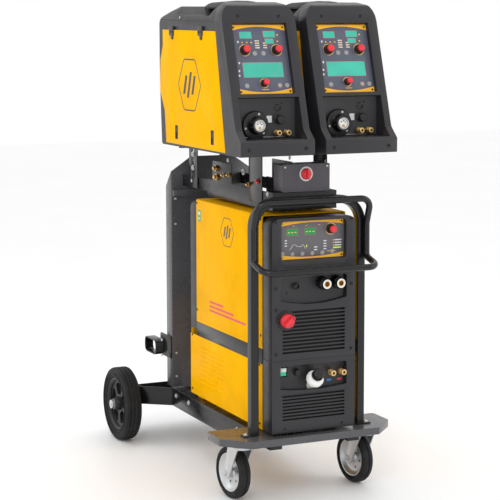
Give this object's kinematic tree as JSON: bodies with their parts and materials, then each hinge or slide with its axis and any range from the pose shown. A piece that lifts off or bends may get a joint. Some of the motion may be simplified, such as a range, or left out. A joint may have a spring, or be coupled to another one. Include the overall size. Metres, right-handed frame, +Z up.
{
  "type": "mig welder on cart",
  "caption": "Pulse MIG welding set on a four-wheel cart: stacked power source and water cooler, twin wire feeders on a rack, push handle, cylinder tray and hose hook.",
  "frame": {"origin": "on the floor, midway in X and midway between the lower push bar and the back of the rear wheels", "axes": "+Z up, +X to the right of a person who stands at the front, +Y from the front panels to the rear wheels"},
  "size_m": [0.636, 1.1117, 1.4959],
  "materials": {
    "black_steel": "satin black powder coat",
    "yellow_steel": "gloss signal-yellow powder coat",
    "black_plastic": "fine moulded grain",
    "panel_grey": "printed keypad film",
    "red_plastic": "moulded",
    "tyre": "matt rubber",
    "zinc": "bright zinc plate",
    "white_plastic": "blow-moulded, translucent",
    "green_plastic": "lit rocker",
    "grey_steel": "satin grey powder coat",
    "aluminium": "as extruded"
  },
  "bodies": {
    "cart": {"front_platform": "black_steel", "rail_left": "black_steel", "rail_right": "black_steel", "rear_column": "black_steel", "bottle_tray": "black_steel", "front_hoop": "black_steel", "handle_loop": "black_steel", "hose_hook": "black_steel", "power_base": "black_steel", "carrier_base": "black_steel", "feeder_rack": "black_steel", "rear_axle": "zinc", "caster_plate_left": "zinc", "caster_plate_right": "zinc", "power_front_bezel": "black_plastic", "power_rear_bezel": "black_plastic", "cooler_front_bezel": "black_plastic", "welding_socket_negative": "black_plastic", "welding_socket_positive": "black_plastic", "power_control_panel": "panel_grey", "power_cover": "yellow_steel", "cooler_case": "yellow_steel", "power_module": "aluminium", "coolant_pump": "aluminium", "coolant_tank": "white_plastic", "switch_box": "grey_steel", "feeder_left_housing": "black_plastic", "feeder_left_front_bezel": "black_plastic", "feeder_left_control_panel": "panel_grey", "feeder_left_drive_unit": "aluminium", "feeder_right_housing": "black_plastic", "feeder_right_front_bezel": "black_plastic", "feeder_right_control_panel": "panel_grey", "feeder_right_drive_unit": "aluminium"},
    "rear_wheel_left": {"rear_tyre_left": "tyre", "rear_rim_left": "black_steel"},
    "rear_wheel_right": {"rear_tyre_right": "tyre", "rear_rim_right": "black_steel"},
    "caster_left_fork": {"caster_fork_left": "zinc"},
    "caster_left_wheel": {"caster_tyre_left": "tyre", "caster_rim_left": "zinc"},
    "caster_right_fork": {"caster_fork_right": "zinc"},
    "caster_right_wheel": {"caster_tyre_right": "tyre", "caster_rim_right": "zinc"},
    "feeder_left_door_panel": {"feeder_left_door": "yellow_steel"},
    "feeder_left_left_encoder": {"feeder_left_left_knob": "red_plastic"},
    "feeder_left_right_encoder": {"feeder_left_right_knob": "red_plastic"},
    "feeder_left_lower_encoder": {"feeder_left_lower_knob": "red_plastic"},
    "feeder_left_spool": {"feeder_left_wire_spool": "black_plastic"},
    "feeder_right_door_panel": {"feeder_right_door": "yellow_steel"},
    "feeder_right_left_encoder": {"feeder_right_left_knob": "red_plastic"},
    "feeder_right_right_encoder": {"feeder_right_right_knob": "red_plastic"},
    "feeder_right_lower_encoder": {"feeder_right_lower_knob": "red_plastic"},
    "feeder_right_spool": {"feeder_right_wire_spool": "black_plastic"},
    "encoder": {"encoder_knob": "red_plastic"},
    "main_switch": {"main_switch_knob": "red_plastic"},
    "selector": {"selector_knob": "red_plastic"},
    "filler_cap_body": {"filler_cap": "black_plastic"},
    "rocker": {"cooler_rocker_switch": "green_plastic"},
    "fan": {"cooling_fan": "black_plastic"}
  },
  "joints": [
    {"name": "rear_wheel_left_roll", "type": "hinge", "parent": "cart", "child": "rear_wheel_left", "pos_m": [-0.276, 0.431, 0.125], "axis": [1, 0, 0], "continuous": true},
    {"name": "rear_wheel_right_roll", "type": "hinge", "parent": "cart", "child": "rear_wheel_right", "pos_m": [0.276, 0.431, 0.125], "axis": [1, 0, 0], "continuous": true},
    {"name": "caster_left_swivel", "type": "hinge", "parent": "cart", "child": "caster_left_fork", "pos_m": [-0.208, -0.423, 0.175], "axis": [0, 0, 1], "continuous": true},
    {"name": "caster_left_roll", "type": "hinge", "parent": "caster_left_fork", "child": "caster_left_wheel", "pos_m": [-0.21385, -0.37536, 0.08], "axis": [0.9925, 0.1219, 0], "continuous": true},
    {"name": "caster_right_swivel", "type": "hinge", "parent": "cart", "child": "caster_right_fork", "pos_m": [0.208, -0.423, 0.175], "axis": [0, 0, 1], "continuous": true},
    {"name": "caster_right_roll", "type": "hinge", "parent": "caster_right_fork", "child": "caster_right_wheel", "pos_m": [0.20215, -0.37536, 0.08], "axis": [0.9925, 0.1219, 0], "continuous": true},
    {"name": "feeder_left_door_hinge", "type": "hinge", "parent": "cart", "child": "feeder_left_door_panel", "pos_m": [-0.2574, -0.131, 1.4156], "axis": [0, 1, 0], "range_deg": [0, 95]},
    {"name": "feeder_left_left_knob_turn", "type": "hinge", "parent": "cart", "child": "feeder_left_left_encoder", "pos_m": [-0.1891, -0.40985, 1.34926], "axis": [0, -0.9562, 0.2927], "continuous": true},
    {"name": "feeder_left_right_knob_turn", "type": "hinge", "parent": "cart", "child": "feeder_left_right_encoder", "pos_m": [-0.0859, -0.40985, 1.34926], "axis": [0, -0.9562, 0.2927], "continuous": true},
    {"name": "feeder_left_lower_knob_turn", "type": "hinge", "parent": "cart", "child": "feeder_left_lower_encoder", "pos_m": [-0.1395, -0.43927, 1.25316], "axis": [0, -0.9562, 0.2927], "continuous": true},
    {"name": "feeder_left_spool_turn", "type": "hinge", "parent": "cart", "child": "feeder_left_spool", "pos_m": [-0.1755, -0.091, 1.228], "axis": [1, 0, 0], "continuous": true},
    {"name": "feeder_right_door_hinge", "type": "hinge", "parent": "cart", "child": "feeder_right_door_panel", "pos_m": [0.0176, -0.131, 1.4156], "axis": [0, 1, 0], "range_deg": [0, 5]},
    {"name": "feeder_right_left_knob_turn", "type": "hinge", "parent": "cart", "child": "feeder_right_left_encoder", "pos_m": [0.0859, -0.40985, 1.34926], "axis": [0, -0.9562, 0.2927], "continuous": true},
    {"name": "feeder_right_right_knob_turn", "type": "hinge", "parent": "cart", "child": "feeder_right_right_encoder", "pos_m": [0.1891, -0.40985, 1.34926], "axis": [0, -0.9562, 0.2927], "continuous": true},
    {"name": "feeder_right_lower_knob_turn", "type": "hinge", "parent": "cart", "child": "feeder_right_lower_encoder", "pos_m": [0.1355, -0.43927, 1.25316], "axis": [0, -0.9562, 0.2927], "continuous": true},
    {"name": "feeder_right_spool_turn", "type": "hinge", "parent": "cart", "child": "feeder_right_spool", "pos_m": [0.0995, -0.091, 1.228], "axis": [1, 0, 0], "continuous": true},
    {"name": "encoder_turn", "type": "hinge", "parent": "cart", "child": "encoder", "pos_m": [0.063, -0.481, 0.818], "axis": [0, 1, 0], "continuous": true},
    {"name": "main_switch_turn", "type": "hinge", "parent": "cart", "child": "main_switch", "pos_m": [-0.093, -0.501, 0.5535], "axis": [0, 1, 0], "range_deg": [0, 90]},
    {"name": "selector_turn", "type": "hinge", "parent": "cart", "child": "selector", "pos_m": [0, -0.441, 0.9813], "axis": [0, 1, 0], "range_deg": [-45, 45]},
    {"name": "filler_cap_turn", "type": "hinge", "parent": "cart", "child": "filler_cap_body", "pos_m": [0, -0.513, 0.3832], "axis": [0, -0.7771, 0.6293], "continuous": true},
    {"name": "rocker_tilt", "type": "hinge", "parent": "cart", "child": "rocker", "pos_m": [-0.092, -0.4655, 0.3937], "axis": [1, 0, 0], "range_deg": [0, 12]},
    {"name": "fan_spin", "type": "hinge", "parent": "cart", "child": "fan", "pos_m": [0, 0.113, 0.6215], "axis": [0, 1, 0], "continuous": true}
  ]
}
